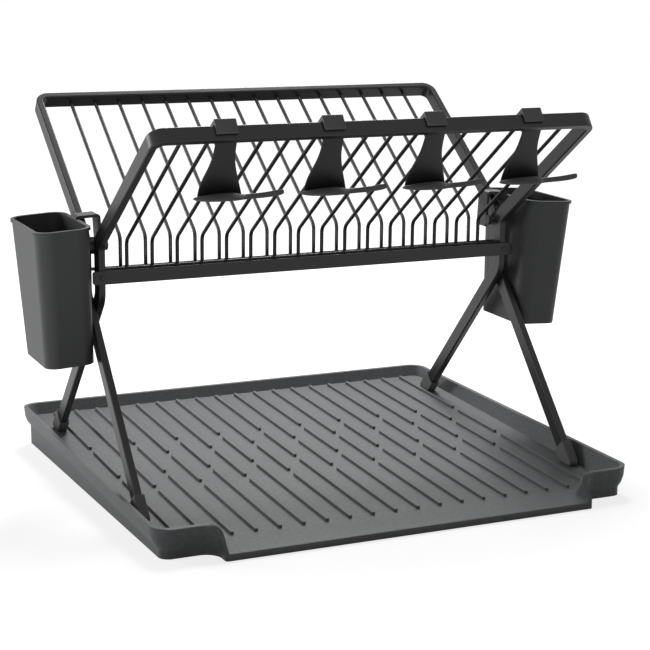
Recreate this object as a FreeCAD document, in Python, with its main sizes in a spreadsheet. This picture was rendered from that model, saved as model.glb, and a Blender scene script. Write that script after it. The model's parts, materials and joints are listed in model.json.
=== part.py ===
import FreeCAD, Part
import math
import os
import re
import Sketcher

# Foldable dish drying rack: two bent-tube hoops crossed in an X and pinned together at their
# sides, each carrying a row of wires, standing in a drip tray, with a utensil cup hooked over
# each pivot and stemware holders clipped on the front top bar.
# Millimetres and degrees.  Frame of the part: +X along the pivot axis, +Y to the back, +Z up.
# The rack's own pieces are drawn about the pivot axis (y = z = 0) and placed as one.

Vector = FreeCAD.Vector
ACROSS = Vector(1, 0, 0)

SIZES = {
    # wires and their welded cross rods
    "wire_pitch": "2 * (hoop_half_width - wire_side) / (wire_count - 1)",
    "wire_count": 16,
    "wire_side": 26.3,
    "wire_diameter": 3.2,
    "wire_bend": 9.0,
    "wire_drop": 25.0,
    "rod_diameter": 3.0,
    "front_rod_drop": 18.6,
    "rear_rod_drop": 22.0,
    "weld_gap": 0.02,
    # hoops of flat tube
    "tube_width": 6.2,
    "tube_depth": 12.6,
    "tube_edge": 1.2,
    "tube_bend": 16.0,
    "tube_offset": 8.56,
    "upper_kink": 3.95,
    "lower_kink": 42.2,
    "arm_angle": 35.7,
    "arm_length": 176.5,
    "leg_angle": 42.3,
    "front_leg": 207.0,
    "rear_leg": 199.0,
    "corner_radius": 12.0,
    "hoop_half_width": "tray_width / 2 - rack_inset",
    "rack_inset": 17.7,
    "side_gap": 0.3,
    # flat cross bar and its rivets
    "strap_height": 11.3,
    "strap_thickness": 1.5,
    "strap_drop": 24.6,
    "strap_overhang": 5.2,
    "strap_round": 2.4,
    "rivet_diameter": 2.6,
    "rivet_head": 4.6,
    "rivet_head_height": 0.9,
    "rivet_length": 5.4,
    # pivots
    "lug_thickness": 4.0,
    "lug_radius": 7.0,
    "pin_diameter": 3.4,
    "pin_clearance": 0.05,
    "pin_head": 4.2,
    "pin_head_height": 1.8,
    "knob_diameter": 9.0,
    "knob_height": 3.0,
    "knob_round": 0.8,
    # rubber shoes on the legs
    "shoe_length": 19.0,
    "shoe_wall": 1.4,
    "shoe_sole": 9.0,
    "shoe_round": 1.2,
    "toe_round": 3.0,
    "slide_gap": 0.3,
    # utensil cups
    "cup_width": 47.8,
    "cup_length": 94.0,
    "cup_height": 114.0,
    "cup_side_taper": 3.3,
    "cup_end_taper": 10.8,
    "cup_wall": 2.0,
    "cup_round": 14.0,
    "cup_shift": 6.7,
    "cup_gap": 3.5,
    "cup_lean": 3.2,
    "rim_width": 1.2,
    "rim_height": 2.4,
    "drain_hole": 5.0,
    "hook_front": 6.0,
    "hook_width": 16.0,
    "hook_thickness": 2.4,
    "hook_drop": 8.0,
    "hook_round": 3.0,
    # stemware holders
    "holder_pitch": "4 * wire_pitch",
    "clip_width": 17.8,
    "clip_wall": 2.2,
    "clip_lip": 7.4,
    "neck_width": 17.4,
    "neck_lean": 27.5,
    "bell_left": 15.0,
    "bell_right": 20.5,
    "bell_height": 33.0,
    "plate_drop": 42.5,
    "plate_thickness": 2.8,
    "plate_front": 21.0,
    "plate_back": 3.5,
    "plate_left": 23.0,
    "plate_right": 17.0,
    "prong_reach": 52.0,
    "prong_width": 6.0,
    "prong_setback": 12.0,
    # drip tray
    "tray_width": 418.0,
    "tray_length": 404.0,
    "tray_front_inset": 18.0,
    "tray_round": 15.0,
    "skirt_inset": 6.5,
    "skirt_back_inset": 3.0,
    "skirt_front_inset": 4.5,
    "skirt_wall": 2.6,
    "flare_back": 17.5,
    "flare_height": 18.3,
    "tray_slope": 1.63,
    "tray_rim": 3.6,
    "floor_back": 27.0,
    "floor_slope": 3.1,
    "floor_inset": 8.0,
    "floor_back_inset": 11.0,
    "floor_front_inset": 17.0,
    "floor_thickness": 2.5,
    "spout_half_width": "tray_width / 2 - spout_inset",
    "spout_inset": 49.0,
    "spout_round": 13.0,
    "spout_fall": 9.0,
    "lip_height": 0.6,
    "rib_pitch": "(tray_width - 2 * rib_side) / (rib_count - 1)",
    "rib_side": 29.0,
    "rib_count": 19,
    "rib_width": 3.0,
    "rib_height": 2.3,
    "rib_gap": 11.0,
    "rib_margin": 3.0,
    "rib_break_back": 52.0,
    "rib_break_front": -29.5,
    "rib_stagger": 16.5,
    "pivot_setback": 13.1,
}

doc = FreeCAD.newDocument("DishRack")
sheet = doc.addObject("Spreadsheet::Sheet", "Sizes")
for row, (alias, size) in enumerate(SIZES.items(), start=1):
    sheet.set(f"A{row}", alias)
    sheet.set(f"B{row}", f"={size}")
    sheet.setAlias(f"B{row}", alias)
doc.recompute()


# ---------------------------------------------------------------- formulas in named sizes

def bound(formula):
    """The formula with each size's name turned into a reference to its cell."""
    def cell(word):
        return f"Sizes.{word[0]}" if word[0] in SIZES else word[0]
    return re.sub(r"[a-z_]+", cell, str(formula))


def value(formula):
    """What the formula comes to with the present sizes."""
    result = sheet.evalExpression(bound(formula))
    return float(getattr(result, "Value", result))


# ---------------------------------------------------------------- sketches and features

def new_body(label):
    body = doc.addObject("PartDesign::Body", label)
    body.Label = label
    return body


def new_sketch(body, name, plane, offset=0, tilt=0):
    """Sketch on one of the body's own planes, moved along its normal and tilted about X."""
    sketch = body.newObject("Sketcher::SketchObject", name)
    origin_plane = next(item for item in body.Origin.OriginFeatures if item.Role == plane)
    sketch.AttachmentSupport = (origin_plane, [""])
    sketch.MapMode = "FlatFace"
    turn = FreeCAD.Rotation(ACROSS, value(tilt))
    sketch.AttachmentOffset = FreeCAD.Placement(Vector(0, 0, value(offset)), turn)
    sketch.setExpression("AttachmentOffset.Base.z", bound(offset))
    if value(tilt):
        sketch.setExpression("AttachmentOffset.Rotation.Angle", bound(tilt))
    return sketch


def bind(sketch, kind, *arguments):
    """Driving constraint whose last argument is a formula."""
    formula = arguments[-1]
    index = sketch.addConstraint(Sketcher.Constraint(kind, *arguments[:-1], value(formula)))
    sketch.setExpression(f"Constraints[{index}]", bound(formula))


def fix_point(sketch, geometry, end, x, y):
    bind(sketch, "DistanceX", -1, 1, geometry, end, x)
    bind(sketch, "DistanceY", -1, 1, geometry, end, y)


def draw(sketch, corners, closed=True):
    """Straight lines through the corners; a corner with a third entry is rounded to it."""
    points = [Vector(value(corner[0]), value(corner[1]), 0) for corner in corners]
    count = len(points)
    rounded = [len(corner) == 3 for corner in corners]
    entry, leave, arcs = list(points), list(points), {}
    for index in range(count):
        if not rounded[index]:
            continue
        towards_last = (points[index - 1] - points[index]).normalize()
        towards_next = (points[(index + 1) % count] - points[index]).normalize()
        radius = value(corners[index][2])
        half_angle = towards_last.getAngle(towards_next) / 2
        reach = radius / math.tan(half_angle)
        entry[index] = points[index] + towards_last * reach
        leave[index] = points[index] + towards_next * reach
        middle = (towards_last + towards_next).normalize() * (radius / math.sin(half_angle))
        arcs[index] = (points[index] + middle, radius)
    lines = {}
    for index in range(count if closed else count - 1):
        after = (index + 1) % count
        lines[index] = sketch.addGeometry(Part.LineSegment(leave[index], entry[after]), False)
    for index in range(count):
        x, y = corners[index][:2]
        before = lines.get((index - 1) % count) if closed or index else None
        after = lines.get(index)
        if not rounded[index]:
            if before is not None and after is not None:
                sketch.addConstraint(Sketcher.Constraint("Coincident", before, 2, after, 1))
            if after is not None:
                fix_point(sketch, after, 1, x, y)
            else:
                fix_point(sketch, before, 2, x, y)
            continue
        centre, radius = arcs[index]
        turns_left = (entry[index] - centre).cross(leave[index] - centre).z > 0
        first, last = (entry[index], leave[index]) if turns_left else (leave[index], entry[index])
        angles = [math.atan2(end.y - centre.y, end.x - centre.x) for end in (first, last)]
        circle = Part.Circle(centre, Vector(0, 0, 1), radius)
        arc = sketch.addGeometry(Part.ArcOfCircle(circle, *angles), False)
        mark = sketch.addGeometry(Part.Point(points[index]), True)
        start, finish = (1, 2) if turns_left else (2, 1)
        sketch.addConstraint(Sketcher.Constraint("Tangent", before, 2, arc, start))
        sketch.addConstraint(Sketcher.Constraint("Tangent", arc, finish, after, 1))
        sketch.addConstraint(Sketcher.Constraint("PointOnObject", mark, 1, before))
        sketch.addConstraint(Sketcher.Constraint("PointOnObject", mark, 1, after))
        fix_point(sketch, mark, 1, x, y)
        bind(sketch, "Radius", arc, corners[index][2])


def draw_circle(sketch, x, y, diameter):
    centre = Vector(value(x), value(y), 0)
    circle = Part.Circle(centre, Vector(0, 0, 1), value(diameter) / 2)
    index = sketch.addGeometry(circle, False)
    fix_point(sketch, index, 3, x, y)
    bind(sketch, "Diameter", index, diameter)


def feature(body, kind, name, sketch, length=None, reverse=False):
    item = body.newObject(f"PartDesign::{kind}", name)
    item.Profile = sketch
    if length is not None:
        item.setExpression("Length", bound(length))
    item.Reversed = reverse
    sketch.Visibility = False
    return item


def through_cut(body, name, sketch):
    """Pocket that runs through the whole body both ways from its sketch."""
    cut = feature(body, "Pocket", name, sketch)
    cut.SideType = "Symmetric"
    cut.Type = "ThroughAll"
    return cut


def sweep(body, name, profile, path):
    pipe = body.newObject("PartDesign::AdditivePipe", name)
    pipe.Profile = profile
    pipe.Spine = (path, [f"Edge{index + 1}" for index in range(len(path.Shape.Edges))])
    return pipe


def loft(body, kind, name, first, second):
    item = body.newObject(f"PartDesign::{kind}", name)
    item.Profile = first
    item.Sections = [second]
    item.Ruled = True
    return item


def round_edges(body, name, base, radius, wanted):
    """Fillet on the edges of the feature that the test picks."""
    doc.recompute()
    names = [f"Edge{index}" for index, edge in enumerate(base.Shape.Edges, 1) if wanted(edge)]
    fillet = body.newObject("PartDesign::Fillet", name)
    fillet.Base = (base, names)
    fillet.setExpression("Radius", bound(radius))
    return fillet


def slab(body, name, corners, low, high, side=1):
    """Plate of the given YZ outline between two X stations, mirrored to X < 0 by side = -1."""
    start = low if side > 0 else f"-({high})"
    sketch = new_sketch(body, name + "_outline", "YZ_Plane", start)
    draw(sketch, corners)
    return feature(body, "Pad", name, sketch, f"({high}) - ({low})")


def disc(body, name, y, z, diameter, low, high, side=1):
    """Round bar along X between two stations."""
    start = low if side > 0 else f"-({high})"
    sketch = new_sketch(body, name + "_circle", "YZ_Plane", start)
    draw_circle(sketch, y, z, diameter)
    return feature(body, "Pad", name, sketch, f"({high}) - ({low})")


SIDES = {"left": -1, "right": 1}
FRONT, REAR = -1, 1

# X stations of the two hoops' tubes: the front hoop lies inside the rear hoop
FRONT_HOOP = ("hoop_half_width - tube_width", "hoop_half_width")
REAR_HOOP = ("hoop_half_width + side_gap", "hoop_half_width + side_gap + tube_width")


def arm_point(facing, along, across="0"):
    """Point at a distance along the arm from its kink and a height square to it."""
    y = f"tube_offset + ({along}) * cos(arm_angle) - ({across}) * sin(arm_angle)"
    z = f"upper_kink + ({along}) * sin(arm_angle) + ({across}) * cos(arm_angle)"
    return f"{facing} * ({y})", z


def leg_point(facing, up, across="0"):
    """Point at a distance up the leg from the middle of its sole and square to the leg."""
    length = "rear_leg" if facing == REAR else "front_leg"
    along = f"({length} - ({up}))"
    y = f"-tube_offset + {along} * sin(leg_angle) + ({across}) * cos(leg_angle)"
    z = f"-lower_kink - {along} * cos(leg_angle) + ({across}) * sin(leg_angle)"
    return f"{facing} * ({y})", z


# ---------------------------------------------------------------- where the rack stands

def sole_middle(facing):
    return [value(coordinate) for coordinate in leg_point(facing, "0")]


front_sole, rear_sole = sole_middle(FRONT), sole_middle(REAR)
sole_rise = math.degrees(math.atan2(rear_sole[1] - front_sole[1], rear_sole[0] - front_sole[0]))
rack_tilt = value("floor_slope") - sole_rise
tilt_turn = FreeCAD.Rotation(ACROSS, rack_tilt)
sole_offset = tilt_turn.multVec(Vector(0, *front_sole))
sole_floor = value(f"floor_back - (tray_length / 2 - pivot_setback - ({sole_offset.y}))"
                   " * tan(floor_slope)")
pivot_height = sole_floor + value("slide_gap") - sole_offset.z
rack_place = FreeCAD.Placement(Vector(0, value("pivot_setback"), pivot_height), tilt_turn)


# ---------------------------------------------------------------- hoops

def make_hoop(label, stands, reaches, stations):
    """Hoop of flat tube: two legs, their upright stretch, two arms and the top bar."""
    body = new_body(label)
    low, high = stations
    upright_y = f"{stands} * -tube_offset"
    section_level = "-lower_kink / 2"
    section = new_sketch(body, label + "_section", "XY_Plane", section_level)
    near, far = f"{upright_y} - tube_depth / 2", f"{upright_y} + tube_depth / 2"
    draw(section, [(low, near), (high, near), (high, far), (low, far)])
    middle = f"(({low}) + ({high})) / 2"
    upper_path = new_sketch(body, label + "_arm_path", "YZ_Plane", middle)
    draw(upper_path, [(upright_y, section_level), (upright_y, "upper_kink", "tube_bend"),
                      arm_point(reaches, "arm_length")], closed=False)
    lower_path = new_sketch(body, label + "_leg_path", "YZ_Plane", middle)
    draw(lower_path, [(upright_y, section_level), (upright_y, "-lower_kink", "tube_bend"),
                      leg_point(stands, "shoe_sole")], closed=False)
    doc.recompute()
    sweep(body, label + "_arm", section, upper_path)
    sweep(body, label + "_leg", section, lower_path)
    mirror = body.newObject("PartDesign::Mirrored", label + "_other_side")
    mirror.Originals = [body.getObject(label + "_arm"), body.getObject(label + "_leg")]
    plane = next(item for item in body.Origin.OriginFeatures if item.Role == "YZ_Plane")
    mirror.MirrorPlane = (plane, [""])
    body.Tip = mirror
    bar = [arm_point(reaches, "arm_length - tube_width", "-tube_depth / 2"),
           arm_point(reaches, "arm_length", "-tube_depth / 2"),
           arm_point(reaches, "arm_length", "tube_depth / 2"),
           arm_point(reaches, "arm_length - tube_width", "tube_depth / 2")]
    top_bar = slab(body, label + "_top_bar", bar, f"-({high})", high)

    def at_corner(along, x):
        y, z = [value(coordinate) for coordinate in arm_point(reaches, along)]
        return lambda edge: edge.CenterOfMass.isEqual(
            Vector(math.copysign(value(x), edge.CenterOfMass.x), y, z), 0.01)

    outer = round_edges(body, label + "_outer_corners", top_bar, "corner_radius",
                        at_corner("arm_length", high))
    inner = round_edges(body, label + "_inner_corners", outer, "corner_radius - tube_width",
                        at_corner("arm_length - tube_width", low))
    return body, inner


front_frame, front_corners = make_hoop("front_frame", REAR, FRONT, FRONT_HOOP)
rear_frame, rear_corners = make_hoop("rear_frame", FRONT, REAR, REAR_HOOP)


def soften_tube(body, label, base, stands):
    """Round the long edges of the tube, leaving the cut ends of its legs sharp."""
    doc.recompute()
    foot = Vector(0, *[value(coordinate) for coordinate in leg_point(stands, "shoe_sole")])

    def is_long(edge):
        middle = edge.CenterOfMass
        return Vector(0, middle.y - foot.y, middle.z - foot.z).Length > value("tube_depth")

    return round_edges(body, label + "_soft_edges", base, "tube_edge", is_long)


for body, label, base, stands in ((front_frame, "front_frame", front_corners, REAR),
                                  (rear_frame, "rear_frame", rear_corners, FRONT)):
    soften_tube(body, label, base, stands)


# ---------------------------------------------------------------- wires and cross rods

def make_wire(label, number, reaches):
    """Rack wire: upright below its kink, then up along the arms to the top bar's inner face."""
    body = new_body(label)
    x = f"({number} - (wire_count - 1) / 2) * wire_pitch"
    y = f"{reaches} * tube_offset"
    end = new_sketch(body, label + "_end", "XY_Plane", "-wire_drop")
    draw_circle(end, x, y, "wire_diameter")
    path = new_sketch(body, label + "_path", "YZ_Plane", x)
    draw(path, [(y, "-wire_drop"), (y, "upper_kink", "wire_bend"),
                arm_point(reaches, "arm_length - tube_width")], closed=False)
    doc.recompute()
    sweep(body, label + "_rod", end, path)


for number in range(int(value("wire_count"))):
    make_wire(f"front_wire_{number + 1:02d}", number, FRONT)
    make_wire(f"rear_wire_{number + 1:02d}", number, REAR)

rod_offset = "(tube_offset + wire_diameter / 2 + rod_diameter / 2 + weld_gap)"
front_rod = new_body("front_cross_rod")
front_rod_end = FRONT_HOOP[0]
disc(front_rod, "front_cross_rod", f"-{rod_offset}", "-front_rod_drop", "rod_diameter",
     f"-({front_rod_end})", front_rod_end)
rear_rod = new_body("rear_cross_rod")
rear_rod_end = REAR_HOOP[0]
disc(rear_rod, "rear_cross_rod", rod_offset, "-rear_rod_drop", "rod_diameter",
     f"-({rear_rod_end})", rear_rod_end)


# ---------------------------------------------------------------- flat bar across the front

strap_back = "(tube_offset + tube_depth / 2)"
strap_end = "(hoop_half_width + strap_overhang)"
rivet_x = "(hoop_half_width - tube_width / 2)"
cross_bar = new_body("cross_bar")
cross_bar_outline = new_sketch(cross_bar, "cross_bar_outline", "XZ_Plane", strap_back)
strap_low, strap_high = "-strap_drop - strap_height / 2", "-strap_drop + strap_height / 2"
draw(cross_bar_outline, [(f"-{strap_end}", strap_low, "strap_round"),
                         (strap_end, strap_low, "strap_round"),
                         (strap_end, strap_high, "strap_round"),
                         (f"-{strap_end}", strap_high, "strap_round")])
for sign in (-1, 1):
    draw_circle(cross_bar_outline, f"{sign} * {rivet_x}", "-strap_drop",
                "rivet_diameter + 2 * pin_clearance")
feature(cross_bar, "Pad", "cross_bar_plate", cross_bar_outline, "strap_thickness")

bar_rivets = new_body("bar_rivets")
shank = new_sketch(bar_rivets, "rivet_shank", "XZ_Plane", "tube_offset + tube_depth / 2"
                   " + strap_thickness - rivet_length")
head = new_sketch(bar_rivets, "rivet_head_circle", "XZ_Plane",
                  "tube_offset + tube_depth / 2 + strap_thickness")
for sign in (-1, 1):
    draw_circle(shank, f"{sign} * {rivet_x}", "-strap_drop", "rivet_diameter")
    draw_circle(head, f"{sign} * {rivet_x}", "-strap_drop", "rivet_head")
feature(bar_rivets, "Pad", "rivet_shanks", shank, "rivet_length")
rivet_heads = feature(bar_rivets, "Pad", "rivet_heads", head, "rivet_head_height")
round_edges(bar_rivets, "rivet_domes", rivet_heads, "rivet_head_height * 0.7",
            lambda edge: edge.CenterOfMass.y < -value(
                f"{strap_back} + strap_thickness + rivet_head_height * 0.9"))

rivet_holes = new_sketch(front_frame, "rivet_holes", "XZ_Plane", strap_back)
for sign in (-1, 1):
    draw_circle(rivet_holes, f"{sign} * {rivet_x}", "-strap_drop",
                "rivet_diameter + 2 * pin_clearance")
feature(front_frame, "Pocket", "rivet_hole_pair", rivet_holes, "rivet_length")


# ---------------------------------------------------------------- pivots

pin_hole = "pin_diameter + 2 * pin_clearance"
front_lug = ("hoop_half_width - lug_thickness", "hoop_half_width")
rear_lug = ("hoop_half_width + side_gap", "hoop_half_width + side_gap + lug_thickness")
cup_inner = "(hoop_half_width + side_gap + tube_width + cup_gap)"
flap_outer = "(hoop_half_width - tube_width - slide_gap)"
knob_top = f"({flap_outer} - hook_thickness - slide_gap)"


def make_lug(label, facing, stations, side):
    """Ear welded in the bend of a hoop, with the pivot's hole on the axis."""
    body = new_body(label)
    root = f"{facing} * (tube_offset - tube_depth / 2)"
    tip = f"{-facing} * lug_radius"
    nearly_round = "lug_radius * 0.96"
    ear = slab(body, label, [(root, "-lug_radius"), (tip, "-lug_radius", nearly_round),
                             (tip, "lug_radius", nearly_round), (root, "lug_radius")],
               *stations, side)
    hole = new_sketch(body, label + "_hole", "YZ_Plane")
    draw_circle(hole, "0", "0", pin_hole)
    through_cut(body, label + "_bore", hole)
    return ear


for name, side in SIDES.items():
    make_lug(f"front_pivot_lug_{name}", FRONT, front_lug, side)
    make_lug(f"rear_pivot_lug_{name}", REAR, rear_lug, side)
    pin = new_body(f"pivot_pin_{name}")
    head_start = f"{rear_lug[1]} + pin_clearance"
    disc(pin, f"pivot_pin_{name}_shank", "0", "0", "pin_diameter", knob_top, head_start, side)
    pin_head = disc(pin, f"pivot_pin_{name}_head", "0", "0", "pin_head", head_start,
                    f"{head_start} + pin_head_height", side)
    outer_face = value(f"{head_start} + pin_head_height")
    round_edges(pin, f"pivot_pin_{name}_dome", pin_head, "pin_head_height * 0.5",
                lambda edge: abs(abs(edge.CenterOfMass.x) - outer_face) < 0.01)
    knob = new_body(f"pivot_knob_{name}")
    button = disc(knob, f"pivot_knob_{name}", "0", "0", "knob_diameter",
                  f"{knob_top} - knob_height", knob_top, side)
    inner_face = value(f"{knob_top} - knob_height")
    round_edges(knob, f"pivot_knob_{name}_round", button, "knob_round",
                lambda edge: abs(abs(edge.CenterOfMass.x) - inner_face) < 0.01)


# ---------------------------------------------------------------- shoes

def make_shoe(label, stands, stations, side):
    """Moulded shoe pushed over the end of a leg, its sole cut flat to the tray's floor."""
    body = new_body(label)
    outer = "(tube_depth / 2 + shoe_wall)"
    slope = f"(leg_angle - {stands} * {sole_rise})"
    heel = f"-{outer} * tan({slope})"
    toe = f"{outer} * tan({slope})"
    outline = [(*leg_point(stands, f"-({toe})", outer), "toe_round"),
               leg_point(stands, "shoe_length", outer),
               leg_point(stands, "shoe_length", f"-{outer}"),
               leg_point(stands, f"-({heel})", f"-{outer}")]
    low, high = stations
    block = slab(body, label, outline, f"({low}) - shoe_wall", f"({high}) + shoe_wall", side)
    along = Vector(0, -stands * math.sin(math.radians(value("leg_angle"))),
                   math.cos(math.radians(value("leg_angle"))))

    def runs_up_the_leg(edge):
        direction = edge.tangentAt(edge.FirstParameter)
        return abs(direction.dot(along)) > 0.999

    rounded = round_edges(body, label + "_round", block, "shoe_round", runs_up_the_leg)
    doc.recompute()
    socket = [leg_point(stands, "shoe_sole", "tube_depth / 2"),
              leg_point(stands, "shoe_length * 1.5", "tube_depth / 2"),
              leg_point(stands, "shoe_length * 1.5", "-tube_depth / 2"),
              leg_point(stands, "shoe_sole", "-tube_depth / 2")]
    start = low if side > 0 else f"-({high})"
    hollow = new_sketch(body, label + "_socket", "YZ_Plane", start)
    draw(hollow, socket)
    feature(body, "Pocket", label + "_hollow", hollow, "tube_width", reverse=True)


for name, side in SIDES.items():
    make_shoe(f"front_shoe_{name}", FRONT, REAR_HOOP, side)
    make_shoe(f"rear_shoe_{name}", REAR, FRONT_HOOP, side)


# ---------------------------------------------------------------- utensil cups

def box_corners(x_low, x_high, y_low, y_high, radius):
    return [(x_low, y_low, radius), (x_high, y_low, radius), (x_high, y_high, radius),
            (x_low, y_high, radius)]


def cup_section(body, name, side, level, side_inset, end_inset, radius):
    """Rounded rectangle of the cup at a level, drawn in from its rim by the insets."""
    sketch = new_sketch(body, name, "XY_Plane", level)
    near, far = f"{cup_inner} + {side_inset}", f"{cup_inner} + cup_width - ({side_inset})"
    x_low, x_high = (near, far) if side > 0 else (f"-({far})", f"-({near})")
    front = f"cup_shift - cup_length / 2 + {end_inset}"
    back = f"cup_shift + cup_length / 2 - ({end_inset})"
    draw(sketch, box_corners(x_low, x_high, front, back, radius))
    return sketch


# the hook lies on the rear arm where the arm leaves the pivot
hook_level = ("(upper_kink + (hook_front + hook_width - tube_offset) * tan(arm_angle)"
              " + tube_depth / 2 / cos(arm_angle) + slide_gap)")


def make_cup(label, side):
    """Tapered cup with a collar, drain holes and a hook that hangs it on the rear arm."""
    body = new_body(label)
    base = f"({hook_level} - cup_height)"
    lip = "(rim_width + cup_wall)"
    mouth = cup_section(body, label + "_mouth", side, hook_level, "rim_width", "rim_width",
                        "cup_round - rim_width")
    foot = cup_section(body, label + "_foot", side, base, "cup_side_taper", "cup_end_taper",
                       "cup_round - cup_side_taper")
    loft(body, "AdditiveLoft", label + "_outside", mouth, foot)
    collar = cup_section(body, label + "_collar", side, f"{hook_level} - rim_height", "0", "0",
                         "cup_round")
    feature(body, "Pad", label + "_rim", collar, "rim_height")
    opening = cup_section(body, label + "_opening", side, hook_level, lip, lip,
                          f"cup_round - {lip}")
    well = cup_section(body, label + "_well", side, f"{base} + cup_wall",
                       "(cup_side_taper + cup_wall)", "(cup_end_taper + cup_wall)",
                       "cup_round - cup_side_taper - cup_wall")
    loft(body, "SubtractiveLoft", label + "_inside", opening, well)
    doc.recompute()
    drains = new_sketch(body, label + "_drains", "XY_Plane", base)
    centre = f"{side} * ({cup_inner} + cup_width / 2)"
    for across in (-1, 1):
        for along in (-1.5, -0.5, 0.5, 1.5):
            draw_circle(drains, f"{centre} + {across} * cup_width / 8",
                        f"cup_shift + {along} * cup_length / 7", "drain_hole")
    feature(body, "Pocket", label + "_drain_holes", drains, "cup_wall * 2", reverse=True)
    hook_profile = new_sketch(body, label + "_hook_profile", "XZ_Plane",
                              "-(hook_front + hook_width)")
    flap_inner = f"({flap_outer} - hook_thickness)"
    stem = f"({cup_inner} + hook_thickness)"
    top = f"({hook_level} + hook_thickness)"
    root = f"({hook_level} - rim_height * 3)"
    draw(hook_profile, [(f"{side} * {flap_inner}", "-hook_drop"),
                        (f"{side} * {flap_inner}", top, "hook_round"),
                        (f"{side} * {stem}", top, "hook_round"),
                        (f"{side} * {stem}", root),
                        (f"{side} * {cup_inner}", root),
                        (f"{side} * {cup_inner}", hook_level, "hook_thickness / 2"),
                        (f"{side} * {flap_outer}", hook_level, "hook_thickness / 2"),
                        (f"{side} * {flap_outer}", "-hook_drop")])
    feature(body, "Pad", label + "_hook", hook_profile, "hook_width")


for name, side in SIDES.items():
    make_cup(f"utensil_cup_{name}", side)


# ---------------------------------------------------------------- stemware holders

def make_holder(label, number):
    """Clip over the front top bar with a flared neck and a forked plate under it."""
    body = new_body(label)
    x = f"({number} - 1.5) * holder_pitch"
    gap = "slide_gap"
    outer, inner = "arm_length", "arm_length - tube_width"
    top = "tube_depth / 2"
    lip_low = f"{top} - clip_lip"
    neck_top = arm_point(FRONT, f"{inner} - {gap} - clip_wall", f"-{top}")
    throat = arm_point(FRONT, f"{inner} - {gap}", f"-{top}")
    plate_z = f"({neck_top[1]} - plate_drop)"
    lean_y = f"({neck_top[0]} + plate_drop * tan(neck_lean))"
    outline = [arm_point(FRONT, f"{outer} + {gap}", lip_low),
               arm_point(FRONT, f"{outer} + {gap} + clip_wall", lip_low),
               (*arm_point(FRONT, f"{outer} + {gap} + clip_wall", f"{top} + {gap} + clip_wall"),
                "clip_wall"),
               (*arm_point(FRONT, f"{inner} - {gap} - clip_wall",
                           f"{top} + {gap} + clip_wall"), "clip_wall"),
               (*neck_top, "clip_wall * 2"),
               (lean_y, plate_z),
               (f"{lean_y} - clip_wall / cos(neck_lean)", plate_z),
               (*throat, "clip_wall"),
               arm_point(FRONT, f"{inner} - {gap}", f"{top} + {gap}"),
               arm_point(FRONT, f"{outer} + {gap}", f"{top} + {gap}")]
    slab(body, label + "_strap", outline, f"{x} - bell_left", f"{x} + bell_right")
    shape = new_sketch(body, label + "_waist", "XZ_Plane")
    high, shoulder = f"{neck_top[1]} + clip_width", f"{throat[1]} + clip_wall"
    flare = f"{plate_z} + bell_height"
    for sign, bell in ((-1, "bell_left"), (1, "bell_right")):
        draw(shape, [(f"{x} + {sign} * clip_width / 2", high),
                     (f"{x} + {sign} * clip_width / 2", shoulder),
                     (f"{x} + {sign} * neck_width / 2", f"{shoulder} - clip_wall"),
                     (f"{x} + {sign} * neck_width / 2", flare, "bell_height"),
                     (f"{x} + {sign} * {bell}", f"{plate_z} - clip_wall"),
                     (f"{x} + {sign} * {bell} * 2", f"{plate_z} - clip_wall"),
                     (f"{x} + {sign} * {bell} * 2", high)])
    through_cut(body, label + "_flanks", shape)
    fork = new_sketch(body, label + "_fork", "XY_Plane", plate_z)
    front, back = f"{lean_y} - plate_front", f"{lean_y} + plate_back"
    prong_front = f"({lean_y} - prong_setback)"
    draw(fork, [(f"{x} - plate_left", f"{prong_front} + prong_width / 2", "prong_width / 4"),
                (f"{x} - bell_left / 2", front, "prong_setback"),
                (f"{x} + plate_right * 0.8", front, "prong_width"),
                (f"{x} + plate_right * 1.2", prong_front, "prong_width"),
                (f"{x} + prong_reach", prong_front, "prong_width / 4"),
                (f"{x} + prong_reach", f"{prong_front} + prong_width / 2", "prong_width / 4"),
                (f"{x} + bell_right", back, "prong_setback"),
                (f"{x} - bell_left", back, "prong_width")])
    feature(body, "Pad", label + "_plate", fork, "plate_thickness")


for number in range(4):
    make_holder(f"stemware_holder_{number + 1}", number)


# ---------------------------------------------------------------- drip tray

tray = new_body("drip_tray")
back_edge, spout_edge = "(tray_length / 2)", "(-tray_length / 2)"
front_edge = "(tray_front_inset - tray_length / 2)"
mouth_half = "(spout_half_width - skirt_wall)"
# half width, front edge, bend into the front wall and front corner
OUTER_SPOUT = ("spout_half_width", spout_edge, "spout_round", ["skirt_wall"])
INNER_SPOUT = (mouth_half, f"{spout_edge} - skirt_wall", "(spout_round + skirt_wall)", [])
# share of the wall's height and of the skirt's inset
FLARE_STEPS = ((0, 1), (0.26, 0.45), (0.55, 0.14), (1, 0))


def plane_height(y, height_at_back, slope):
    """Height at y of a plane that falls towards the front."""
    return f"({height_at_back} - (tray_length / 2 - ({y})) * tan({slope}))"


def tray_outline(name, side_inset, back_inset, front_inset, spout, level, slope):
    """Outline of the tray and its spout on a plane that falls towards the front."""
    sketch = new_sketch(tray, name, "XY_Plane", plane_height("0", level, slope), slope)
    half = f"(tray_width / 2 - ({side_inset}))"
    front = f"({front_edge} + {front_inset}) / cos({slope})"
    back = f"({back_edge} - {back_inset}) / cos({slope})"
    radius = f"tray_round - ({side_inset})"
    spout_half, spout_front, spout_bend, spout_corner = spout
    tip = f"({spout_front}) / cos({slope})"
    draw(sketch, [(half, front, radius), (half, back, radius), (f"-{half}", back, radius),
                  (f"-{half}", front, radius), (f"-{spout_half}", front, spout_bend),
                  (f"-{spout_half}", tip, *spout_corner), (spout_half, tip, *spout_corner),
                  (spout_half, front, spout_bend)])
    return sketch


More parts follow.
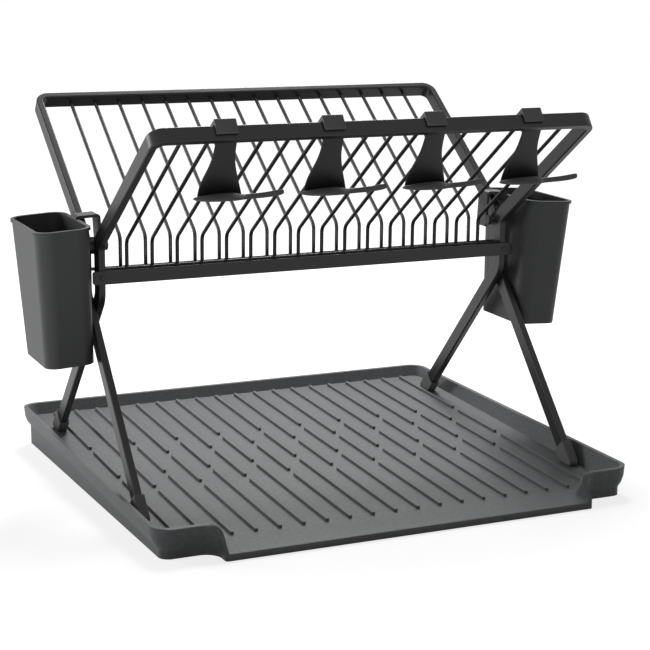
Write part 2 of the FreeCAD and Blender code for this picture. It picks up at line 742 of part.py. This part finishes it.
def tray_profile(name, points):
    """Pocket of a YZ outline, through the whole tray."""
    sketch = new_sketch(tray, name + "_outline", "YZ_Plane")
    draw(sketch, points)
    through_cut(tray, name, sketch)


rim_back = "(flare_back + flare_height)"
clear = "tray_round"
skirt_half = "(tray_width / 2 - skirt_inset)"
skirt_back, skirt_front = f"({back_edge} - skirt_back_inset)", f"({front_edge} + skirt_front_inset)"
corner = "(tray_round - skirt_inset)"
base_outline = tray_outline("tray_base_outline", "skirt_inset", "skirt_back_inset",
                            "skirt_front_inset", OUTER_SPOUT, "0", "0")
feature(tray, "Pad", "tray_base", base_outline, rim_back)
beyond_front, beyond_back = f"{spout_edge} - {clear}", f"{back_edge} + {clear}"
tray_profile("above_skirt", [
    (beyond_front, plane_height(beyond_front, "flare_back", "tray_slope")),
    (beyond_back, plane_height(beyond_back, "flare_back", "tray_slope")),
    (beyond_back, f"{rim_back} * 2"), (beyond_front, f"{rim_back} * 2")])

# the wall flares out above the skirt, steeply at first
flare_steps = []
for step, (rise, inset) in enumerate(FLARE_STEPS):
    flare_steps.append(tray_outline(f"flare_{step}", f"skirt_inset * {inset}",
                                    f"skirt_back_inset * {inset}",
                                    f"skirt_front_inset * {inset}", OUTER_SPOUT,
                                    f"flare_back + flare_height * {rise}", "tray_slope"))
flare = loft(tray, "AdditiveLoft", "flared_wall", flare_steps[0], flare_steps[1])
flare.Sections = flare_steps[1:]

# the well is open at the front over the spout, whose side walls fall to its lip
floor_edge = tray_outline("floor_edge", "floor_inset", "floor_back_inset", "floor_front_inset",
                          INNER_SPOUT, "floor_back", "floor_slope")
rim_edge = tray_outline("rim_edge", "tray_rim", "tray_rim", "tray_rim", INNER_SPOUT,
                        rim_back, "tray_slope")
loft(tray, "SubtractiveLoft", "tray_well", floor_edge, rim_edge)
fall_start = f"{front_edge} + {clear}"
lip = plane_height(spout_edge, "floor_back + lip_height", "floor_slope")
tray_profile("spout_walls", [
    (beyond_front, lip), (spout_edge, lip),
    (front_edge, plane_height(front_edge, rim_back, "tray_slope"), "spout_fall"),
    (fall_start, plane_height(fall_start, rim_back, "tray_slope")),
    (fall_start, f"{rim_back} * 2"), (beyond_front, f"{rim_back} * 2")])

# underneath, the floor is a plate on a skirt
def hollow_below(name, half, front, back, radius):
    """Hollow from the underside up to the plate of the floor, with rounded corners."""
    outlines = []
    for end, height, slope in (("low", "0", "0"), ("high", plane_height(
            "0", "floor_back - floor_thickness", "floor_slope"), "floor_slope")):
        sketch = new_sketch(tray, f"{name}_{end}", "XY_Plane", height, slope)
        draw(sketch, box_corners(f"-{half}", half, f"({front}) / cos({slope})",
                                 f"({back}) / cos({slope})", radius))
        outlines.append(sketch)
    return loft(tray, "SubtractiveLoft", name, *outlines)


hollow_below("under_floor", f"({skirt_half} - skirt_wall)", f"{skirt_front} + skirt_wall",
             f"{skirt_back} - skirt_wall", f"{corner} - skirt_wall")
hollow_below("under_spout", mouth_half, f"{spout_edge} + skirt_wall",
             f"{skirt_front} + skirt_wall * 2", "skirt_wall")

# drainage ribs along the slope, each broken twice, the breaks staggered from rib to rib
rib_back = f"({back_edge} - floor_back_inset - rib_margin)"
rib_front = f"({front_edge} + floor_front_inset + rib_margin)"
x_axis = next(item for item in tray.Origin.OriginFeatures if item.Role == "X_Axis")
for name, shift, first, count in (("wide", "rib_stagger", "0", "(rib_count + 1) / 2"),
                                  ("narrow", "-rib_stagger", "1", "(rib_count - 1) / 2")):
    rib = new_sketch(tray, f"rib_{name}_outline", "XY_Plane",
                     f"{plane_height('0', 'floor_back', 'floor_slope')} - rib_height / 2",
                     "floor_slope")
    x = f"({first} - (rib_count - 1) / 2) * rib_pitch"
    back_break, front_break = f"rib_break_back + {shift}", f"rib_break_front + {shift}"
    for low, high in ((f"{back_break} + rib_gap / 2", rib_back),
                      (f"{front_break} + rib_gap / 2", f"{back_break} - rib_gap / 2"),
                      (rib_front, f"{front_break} - rib_gap / 2")):
        draw(rib, box_corners(f"{x} - rib_width / 2", f"{x} + rib_width / 2", low, high,
                              "rib_width * 0.48"))
    ribs = feature(tray, "Pad", f"rib_{name}", rib, "rib_height * 1.5")
    doc.recompute()
    row = tray.newObject("PartDesign::LinearPattern", f"ribs_{name}")
    row.Originals = [ribs]
    row.Direction = (x_axis, [""])
    row.Mode = "Spacing"
    row.setExpression("Offset", bound("rib_pitch * 2"))
    row.setExpression("Occurrences", bound(count))
    tray.Tip = row

doc.recompute()

# ---------------------------------------------------------------- placing, checking, writing

sub_parts = [item for item in doc.Objects if item.TypeId == "PartDesign::Body"]
for body in sub_parts:
    if body is not tray:
        body.Placement = rack_place
for name, side in SIDES.items():
    heel = Vector(side * value("hoop_half_width + side_gap + tube_width"), 0, value(hook_level))
    lean = FreeCAD.Rotation(Vector(0, 1, 0), side * value("cup_lean"))
    leaning = FreeCAD.Placement(heel - lean.multVec(heel), lean)
    doc.getObject(f"utensil_cup_{name}").Placement = rack_place.multiply(leaning)
doc.recompute()

for item in doc.Objects:
    if "Invalid" in item.State or "Error" in item.State:
        raise RuntimeError(f"{item.Label} failed: {item.getStatusString()}")

os.makedirs("parts", exist_ok=True)
for body in sub_parts:
    if body.Shape.isNull() or not body.Shape.isValid():
        raise RuntimeError(f"{body.Label} has no valid shape")
    body.Shape.exportStep(f"parts/{body.Label}.step")
    box = body.Shape.optimalBoundingBox(False)
    sides = [round(side, 1) for side in (box.XMin, box.XMax, box.YMin, box.YMax, box.ZMin, box.ZMax)]
    print(body.Label, len(body.Shape.Solids), round(body.Shape.Volume), sides)
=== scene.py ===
import json
import math

import bpy
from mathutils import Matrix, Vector


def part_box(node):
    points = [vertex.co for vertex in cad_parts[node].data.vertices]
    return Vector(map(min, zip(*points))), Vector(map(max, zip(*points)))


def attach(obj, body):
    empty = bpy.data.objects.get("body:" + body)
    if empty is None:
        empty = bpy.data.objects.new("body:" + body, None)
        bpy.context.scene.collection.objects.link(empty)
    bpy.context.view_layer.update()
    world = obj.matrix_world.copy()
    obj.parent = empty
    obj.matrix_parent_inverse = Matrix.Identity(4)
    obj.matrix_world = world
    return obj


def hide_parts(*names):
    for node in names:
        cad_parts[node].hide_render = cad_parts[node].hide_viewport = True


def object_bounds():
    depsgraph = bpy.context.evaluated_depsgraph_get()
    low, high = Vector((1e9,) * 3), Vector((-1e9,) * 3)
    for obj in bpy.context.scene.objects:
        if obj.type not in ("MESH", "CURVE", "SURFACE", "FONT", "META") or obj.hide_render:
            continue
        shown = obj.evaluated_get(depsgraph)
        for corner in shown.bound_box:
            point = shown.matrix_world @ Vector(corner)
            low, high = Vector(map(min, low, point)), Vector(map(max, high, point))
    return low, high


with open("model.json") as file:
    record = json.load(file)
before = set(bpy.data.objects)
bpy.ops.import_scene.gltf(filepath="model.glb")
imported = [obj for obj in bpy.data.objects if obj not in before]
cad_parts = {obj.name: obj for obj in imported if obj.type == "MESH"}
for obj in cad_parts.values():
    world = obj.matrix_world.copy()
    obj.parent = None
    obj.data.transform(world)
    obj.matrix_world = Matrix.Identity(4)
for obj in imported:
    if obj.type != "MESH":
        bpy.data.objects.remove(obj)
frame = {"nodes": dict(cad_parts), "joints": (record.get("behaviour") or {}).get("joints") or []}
cad_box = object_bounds()


# ---------------------------------------------------------------- studio
# The rack stands on a white table in a white room. One soft lamp shines from above and
# behind, a weaker one from the back left, and the table throws some light back; its left
# side also glows for diffuse rays, a painted glow that adds to that light.
# The camera looks slightly down on the rack from the front left.

eye = bpy.data.cameras.new("camera")
eye.lens = 96
eye.clip_end = 20
camera = bpy.data.objects.new("camera", eye)
camera.location = (-0.5979, -1.3486, 0.4200)
camera.rotation_euler = (math.radians(78.86), math.radians(0.1), math.radians(-24.35))
bpy.context.scene.collection.objects.link(camera)
bpy.context.scene.camera = camera
bpy.context.scene.view_settings.view_transform = "Standard"


def soft_lamp(name, place, aim, width, power):
    """A square lamp that shines from its place towards a point."""
    light = bpy.data.lights.new(name, "AREA")
    light.size = width
    light.energy = power
    lamp = bpy.data.objects.new(name, light)
    lamp.location = place
    lamp.rotation_euler = (aim - lamp.location).to_track_quat("-Z", "Y").to_euler()
    bpy.context.scene.collection.objects.link(lamp)


middle = (cad_box[0] + cad_box[1]) / 2
soft_lamp("lamp overhead", (0.42, 0.88, 1.2), middle, 0.5, 14.5)
soft_lamp("lamp left", (-1.1, 0.85, 0.5), middle, 0.5, 5)


class Field:
    """What changes over a surface: one output of a material's nodes, for use in sums."""

    def __init__(self, socket):
        self.socket = socket

    def node(self, kind, settings, inputs, output=0):
        """A further node of some kind, its settings made first and its sockets filled next."""
        tree = self.socket.id_data
        made = tree.nodes.new(kind)
        for name, setting in settings.items():
            setattr(made, name, setting)
        for name, content in inputs.items():
            if isinstance(content, Field):
                tree.links.new(content.socket, made.inputs[name])
            else:
                made.inputs[name].default_value = content
        return Field(made.outputs[output])

    def sum(self, operation, first, second):
        return self.node("ShaderNodeMath", {"operation": operation}, {0: first, 1: second})

    def __add__(self, other):
        return self.sum("ADD", self, other)

    def __radd__(self, other):
        return self.sum("ADD", other, self)

    def __sub__(self, other):
        return self.sum("SUBTRACT", self, other)

    def __rsub__(self, other):
        return self.sum("SUBTRACT", other, self)

    def __mul__(self, other):
        return self.sum("MULTIPLY", self, other)

    def __rmul__(self, other):
        return self.sum("MULTIPLY", other, self)

    def blend(self, first, second):
        """The first colour where this is 0 and the second where it is 1."""
        ends = {6: first, 7: second}
        return self.node("ShaderNodeMix", {"data_type": "RGBA"}, {0: self, **ends}, 2)

    def greater(self, other):
        """The greater of two numbers."""
        return self.sum("MAXIMUM", self, other)

    def ramp(self, start, end, top=1, shape="LINEAR"):
        """A number that rises from 0 to the top while this goes from start to end."""
        return self.node("ShaderNodeMapRange", {"interpolation_type": shape},
                         {0: self, 1: start, 2: end, 4: top})

    def along(self, axis):
        """A point's place along X, Y or Z."""
        return self.node("ShaderNodeSeparateXYZ", {}, {0: self}, axis)


def shade(level, warmth=0):
    """A grey as a screen shows it, 0 to 255, slightly warm or cool."""
    channels = [level + warmth, level, level - warmth]
    return [((channel / 255 + 0.055) / 1.055) ** 2.4 for channel in channels] + [1]


def rays_at(shader):
    """1 where straight, glossy or transmitted rays meet a shader, as three numbers."""
    handle = Field(shader.outputs[0])
    return [handle.node("ShaderNodeLightPath", {}, {}, f"Is {kind} Ray")
            for kind in ("Camera", "Glossy", "Transmission")]


room = bpy.data.worlds.new("room")
bpy.context.scene.world = room
room.use_nodes = True
walls = room.node_tree.nodes["Background"]
walls.inputs["Color"].default_value = (1, 1, 1, 1)
straight, glossy, through = rays_at(walls)
dimness, mirrored = 0.1, 0.6
seen = straight.greater((mirrored * glossy).greater(through))
room.node_tree.links.new((dimness + seen * (1 - dimness)).socket, walls.inputs["Strength"])

table_mesh = bpy.data.meshes.new("table")
reach = 6.0
corners = [(-reach, -reach, 0), (reach, -reach, 0), (reach, reach, 0), (-reach, reach, 0)]
table_mesh.from_pydata(corners, [], [(0, 1, 2, 3)])
table = bpy.data.objects.new("table", table_mesh)
bpy.context.scene.collection.objects.link(table)
table_top = bpy.data.materials.new("white table")
table_top.use_nodes = True
table_mesh.materials.append(table_top)
top = table_top.node_tree.nodes["Principled BSDF"]
top.inputs["Base Color"].default_value = shade(178)
top.inputs["Roughness"].default_value = 0.9
top.inputs["Specular IOR Level"].default_value = 0
top.inputs["Emission Strength"].default_value = 1
straight, glossy, through = rays_at(top)
spot = straight.node("ShaderNodeTexCoord", {}, {}, "Object")
distance = spot.node("ShaderNodeVectorMath", {"operation": "LENGTH"}, {0: spot}, 1)
near_white, far_white, mirrored, left_glow_power = 0.79, 1.05, 0.65, 1.6
white = near_white + (far_white - near_white) * distance.ramp(0.24, 0.5, shape="SMOOTHSTEP")
# painted glow: the table's left side shines on the rack though it is no lamp
left_glow = spot.along("X").ramp(-0.2, -0.7, left_glow_power)
seen = straight.greater((mirrored * glossy).greater(through))
unseen = 1 - straight.greater(glossy.greater(through))
glow = seen * white + unseen * left_glow
grey = glow.node("ShaderNodeCombineColor", {}, {"Red": glow, "Green": glow, "Blue": glow})
table_top.node_tree.links.new(grey.socket, top.inputs["Emission Color"])


# ---------------------------------------------------------------- drip tray
# The tray is one moulding of grey polypropylene with a fine satin grain: a flared wall on
# an upright skirt, a sloped floor with rows of low ribs, and a spout at its front edge.

def new_finish(name, steady):
    """A material with the steady values of its shader, its shader, and its point in metres."""
    material = bpy.data.materials.new(name)
    material.use_nodes = True
    tree = material.node_tree
    shader = tree.nodes["Principled BSDF"]
    for socket, setting in steady.items():
        shader.inputs[socket].default_value = setting
    point = Field(shader.outputs[0]).node("ShaderNodeTexCoord", {}, {}, "Object")
    return material, shader, point


def feed(shader, fields):
    """Links what varies to the shader's sockets."""
    for socket, field in fields.items():
        shader.id_data.links.new(field.socket, shader.inputs[socket])


def noise(point, scale, detail=2.0):
    """Soft noise with a number of grains in each metre."""
    look = {"Scale": scale, "Detail": detail}
    return point.node("ShaderNodeTexNoise", {}, {"Vector": point, **look})


def soft_edges(point, radius):
    """The surface's direction with its edges rounded to a radius in metres."""
    return point.node("ShaderNodeBevel", {"samples": 6}, {"Radius": radius})


def bump(point, height, depth, direction):
    """A direction with that height, in metres, pressed into it."""
    steady = {"Distance": depth, "Strength": 1}
    return point.node("ShaderNodeBump", {}, {"Height": height, "Normal": direction, **steady})


def edge_band(point, direction):
    """0 on flat places and near 1 along the edges that the direction rounds, where the finishes
    turn lighter.
    """
    plain = point.node("ShaderNodeNewGeometry", {}, {}, "Normal")
    facing = plain.node("ShaderNodeVectorMath", {"operation": "DOT_PRODUCT"},
                        {0: plain, 1: direction}, 1)
    return facing.ramp(1.0, 0.8)


def dress(nodes, material):
    """Puts one finish on CAD nodes."""
    for node in nodes:
        mesh = frame["nodes"][node].data
        mesh.materials.clear()
        mesh.materials.append(material)


tray_plastic, shader, point = new_finish("tray plastic", {"IOR": 1.42})
cloud = 0.4 * noise(point, 7, 4) + 0.6 * noise(point, 330, 4)
grain = noise(point, 2600)
# the edges are rounded by 0.9 mm, and much more along the spout's lip
lip = point.along("Y").ramp(-0.190, -0.196)
edge = soft_edges(point, 0.0009 + 0.0035 * lip)
mottled = cloud.blend(shade(74, -1), shade(146, -2))
feed(shader, {
    "Base Color": edge_band(point, edge).blend(mottled, shade(136, -1)),
    "Roughness": 0.44 + 0.12 * grain,
    "Normal": bump(point, grain, 0.00003, edge),
})
dress(["drip_tray"], tray_plastic)


# ---------------------------------------------------------------- hoops and cross bar
# Two hoops of flat oval steel tube cross at the pivots, with a flat steel bar riveted
# across the front hoop. All of it has the same dark powder coat, with a faint orange peel.

frame_coat, shader, point = new_finish("frame powder coat", {"IOR": 1.5})
peel = noise(point, 900, 3)
edge = soft_edges(point, 0.0008)
feed(shader, {
    "Base Color": edge_band(point, edge).blend(
        noise(point, 14).blend(shade(40, 1), shade(48, 1)), shade(76, 1)),
    "Roughness": 0.28 + 0.12 * peel,
    "Normal": bump(point, peel, 0.00004, edge),
})
dress(["front_frame", "rear_frame", "cross_bar", "bar_rivets"], frame_coat)
for side in ("left", "right"):
    dress([f"front_pivot_lug_{side}", f"rear_pivot_lug_{side}"], frame_coat)


# ---------------------------------------------------------------- plate wires
# Sixteen bent wires hang from each hoop, welded to it and to a cross rod below. They are
# mild steel rod, dipped with the hoops in the same dark coat. The front wires carry a
# darker, less reflective copy of it as painted shade.

# the front set's darker greys are painted shade on the one coat
for hoop, reflection, dark, light in (("rear", 1.8, 30, 38), ("front", 1.4, 20, 28)):
    wire_coat, shader, point = new_finish(f"{hoop} wire powder coat", {"IOR": reflection})
    peel = noise(point, 1500)
    feed(shader, {
        "Base Color": noise(point, 20).blend(shade(dark), shade(light)),
        "Roughness": 0.2 + 0.12 * peel,
        "Normal": bump(point, peel, 0.00003, soft_edges(point, 0.0003)),
    })
    wires = [name for name in frame["nodes"] if name.startswith(f"{hoop}_wire_")]
    dress(wires + [f"{hoop}_cross_rod"], wire_coat)


# ---------------------------------------------------------------- pivots
# A steel pin goes through the lugs of both hoops at each side, under a round cap of
# black nylon that is pushed onto its inner end.

pin_metal, shader, point = new_finish("pin steel", {"Metallic": 1})
brush = noise(point, 700)
edge = soft_edges(point, 0.0003)
feed(shader, {
    "Base Color": brush.blend(shade(110), shade(130)),
    "Roughness": 0.3 + 0.15 * brush,
    "Normal": bump(point, brush, 0.00002, edge),
})
dress(["pivot_pin_left", "pivot_pin_right"], pin_metal)

cap_nylon, shader, point = new_finish("cap nylon", {"IOR": 1.5})
grain = noise(point, 2400)
edge = soft_edges(point, 0.0005)
feed(shader, {
    "Base Color": edge_band(point, edge).blend(
        noise(point, 60).blend(shade(38), shade(44)), shade(60)),
    "Roughness": 0.4 + 0.15 * grain,
    "Normal": bump(point, grain, 0.00003, edge),
})
dress(["pivot_knob_left", "pivot_knob_right"], cap_nylon)


# ---------------------------------------------------------------- shoes
# Each leg ends in a moulded shoe of grey rubber, pushed onto the tube, whose flat sole
# keeps the rack from sliding on the tray.

shoe_rubber, shader, point = new_finish("shoe rubber", {"IOR": 1.45})
grain = noise(point, 1800, 4)
edge = soft_edges(point, 0.0008)
feed(shader, {
    "Base Color": edge_band(point, edge).blend(
        noise(point, 40).blend(shade(124), shade(138)), shade(150)),
    "Roughness": 0.62 + 0.2 * grain,
    "Normal": bump(point, grain, 0.00006, edge),
})
for side in ("left", "right"):
    dress([f"front_shoe_{side}", f"rear_shoe_{side}"], shoe_rubber)


# ---------------------------------------------------------------- utensil cups
# Two tapered cups of dark moulded plastic hang over the arms at the sides by a hook, each
# with a thin beaded rim and drain holes in its floor.

cup_plastic, shader, point = new_finish("cup plastic", {"IOR": 1.46})
grain = noise(point, 2600)
edge = soft_edges(point, 0.0006)
feed(shader, {
    "Base Color": edge_band(point, edge).blend(
        noise(point, 12, 4).blend(shade(65, -1), shade(73, -1)), shade(99, -1)),
    "Roughness": 0.4 + 0.12 * grain,
    "Normal": bump(point, grain, 0.00003, edge),
})
dress(["utensil_cup_left", "utensil_cup_right"], cup_plastic)


# ---------------------------------------------------------------- stemware holders
# Four holders clip over the front bar. Each is one moulding of plastic: a squared clip, a
# bell-shaped neck that hangs from it, and a boat-shaped plate with a long thin horn, on
# which a glass hangs by its foot. The clip and the plate carry a lighter copy of the plastic
# as painted light, and the neck a darker copy as painted shade.

# a lighter copy of the holder plastic: painted light on the clip and the plate
holder_plastic, shader, point = new_finish("holder plastic lit copy", {"IOR": 1.46})
grain = noise(point, 2600)
edge = soft_edges(point, 0.0005)
feed(shader, {
    "Base Color": edge_band(point, edge).blend(
        noise(point, 30, 4).blend(shade(92), shade(102)), shade(128)),
    "Roughness": 0.4 + 0.12 * grain,
    "Normal": bump(point, grain, 0.00003, edge),
})

# a darker copy of the same plastic: painted shade on the neck
shaded_neck_plastic, shader, point = new_finish("holder neck plastic shaded copy", {"IOR": 1.46})
grain = noise(point, 2600)
feed(shader, {
    "Base Color": noise(point, 30, 4).blend(shade(34), shade(42)),
    "Roughness": 0.4 + 0.12 * grain,
    "Normal": bump(point, grain, 0.00003, soft_edges(point, 0.0003)),
})


def loft(name, rings, body, node, material, slot, bevel=None):
    """A closed skin in place of a CAD node, riding on its body.

    It goes over rings of points, anticlockwise as seen from beyond the last ring.
    """
    count = len(rings[0])
    points = [point for ring in rings for point in ring]
    faces = [tuple(range(count))[::-1], tuple(range(len(points) - count, len(points)))]
    for row in range(len(rings) - 1):
        for step in range(count):
            after = (step + 1) % count
            low, high = row * count, (row + 1) * count
            faces.append((low + step, low + after, high + after, high + step))
    mesh = bpy.data.meshes.new(name)
    mesh.from_pydata(points, [], faces)
    mesh.polygons.foreach_set("use_smooth", [True] * len(faces))
    piece = bpy.data.objects.new(name, mesh)
    bpy.context.scene.collection.objects.link(piece)
    if bevel:
        rounding = piece.modifiers.new("rounding", "BEVEL")
        rounding.width, rounding.segments = bevel, 3
    else:
        smoothing = piece.modifiers.new("smoothing", "SUBSURF")
        smoothing.levels = smoothing.render_levels = 2
    mesh.materials.append(material)
    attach(piece, body)
    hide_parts(node)


# the front bar's outer face, from the box of its hoop: along the arm and square to it
lift = next(joint for joint in frame["joints"] if joint["name"] == "holder_1_lift")
across = Vector(lift["axis"])
along = Vector((0, -across.z, across.y))
tube_width, tube_depth, tube_edge = 0.0062, 0.0126, 0.0012
hoop_low, hoop_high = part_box("front_frame")
shrink = tube_edge * (across.y + across.z - 1)
bar_face = Vector((0, hoop_low[1] - shrink + across.y * tube_depth / 2,
                   hoop_high[2] + shrink - across.z * tube_depth / 2))

clip_half, clip_gap, clip_wall, clip_top, clip_reach = 0.0089, 0.0003, 0.0022, 0.004, 0.0085
neck_back, neck_wall, neck_corner = 0.0208, 0.0012, 0.96
tip_to_neck, foot_height = 0.0225, 0.0018
# the bell from its top down: its share of the way, and its half widths left and right in mm
bell = ((-0.14, 8.7, 8.7), (-0.12, 8.7, 8.7), (0.15, 8.8, 8.9), (0.35, 10.0, 10.2),
        (0.55, 13.0, 13.2), (0.75, 16.0, 16.6), (0.95, 16.4, 20.2), (1.04, 15.8, 21.2),
        (1.06, 15.8, 21.2))
# the plate from its left tip to the horn's: place, front, back, underside and top in mm
plate = ((-22.9, -11.4, -10.2, 2.0, 3.2), (-21.5, -13.4, -7.6, 1.0, 3.9),
         (-17, -17.4, -2.0, 0.4, 4.8), (-10, -19.8, 1.8, 0.1, 5.8),
         (-2, -20.8, 3.0, 0.05, 6.4), (6, -20.6, 3.2, 0.05, 6.5), (11, -19.2, 3.2, 0.05, 6.0),
         (15, -16.4, 2.8, 0.2, 4.2), (20, -13.6, 0.4, 0.1, 4.2), (26, -12.6, -4.0, 0.2, 4.4),
         (34, -12.2, -5.0, 0.4, 4.8), (42, -12.2, -5.4, 0.9, 5.6), (48, -12.0, -6.2, 1.7, 6.4),
         (51.9, -11.0, -7.6, 2.8, 6.4))
# its section, in shares of its depth and height: a sloping front, a lip and a dished top
rail = ((0, 0.12), (0.04, 0.4), (0.2, 0.92), (0.3, 1), (0.4, 0.85), (0.65, 0.6), (0.95, 0.55),
        (1, 0.3), (0.95, 0), (0.5, 0), (0.06, 0))
for number in (1, 2, 3, 4):
    node, body = f"stemware_holder_{number}", f"holder_{number}"
    low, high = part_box(node)
    centre = Vector((low[0] + tip_to_neck, 0, 0))
    finish = (body, node, holder_plastic, "holder_plastic")

    outer, inner = clip_gap, -tube_width - clip_gap
    top = tube_depth / 2 + clip_gap
    profile = ((outer, top - clip_reach), (outer, top), (inner, top), (inner, -tube_depth / 2),
               (inner - clip_wall, -tube_depth / 2), (inner - clip_wall, top + clip_top),
               (outer + clip_wall, top + clip_top), (outer + clip_wall, top - clip_reach))
    rings = []
    for x in (-clip_half, clip_half):
        end = centre + bar_face + Vector((x, 0, 0))
        rings.append([end + along * out + across * up for out, up in profile])
    loft(f"holder_clip_{number}", rings, *finish, bevel=0.0007)

    throat = centre + bar_face + along * (inner - clip_wall / 2) - across * tube_depth / 2
    foot = Vector((centre.x, throat.y + neck_back, low[2] + foot_height))
    rings = []
    for drop, left, right in reversed(bell):
        place = throat.lerp(foot, drop)
        left_corner, right_corner = -left * neck_corner, right * neck_corner
        outline = ((-left, 0), (left_corner, -1), (0, -1), (right_corner, -1), (right, 0),
                   (right_corner, 1), (0, 1), (left_corner, 1))
        rings.append([place + Vector((x / 1000, side * neck_wall, 0)) for x, side in outline])
    loft(f"holder_neck_{number}", rings, body, node, shaded_neck_plastic, "holder_plastic")

    rings = []
    for x, front, back, under, over in reversed(plate):
        deep, tall = back - front, over - under
        ring = [(front + deep * out, under + tall * up) for out, up in rail]
        rings.append([Vector((centre.x + x / 1000, foot.y + y / 1000, low[2] + z / 1000))
                      for y, z in ring])
    loft(f"holder_plate_{number}", rings, *finish)
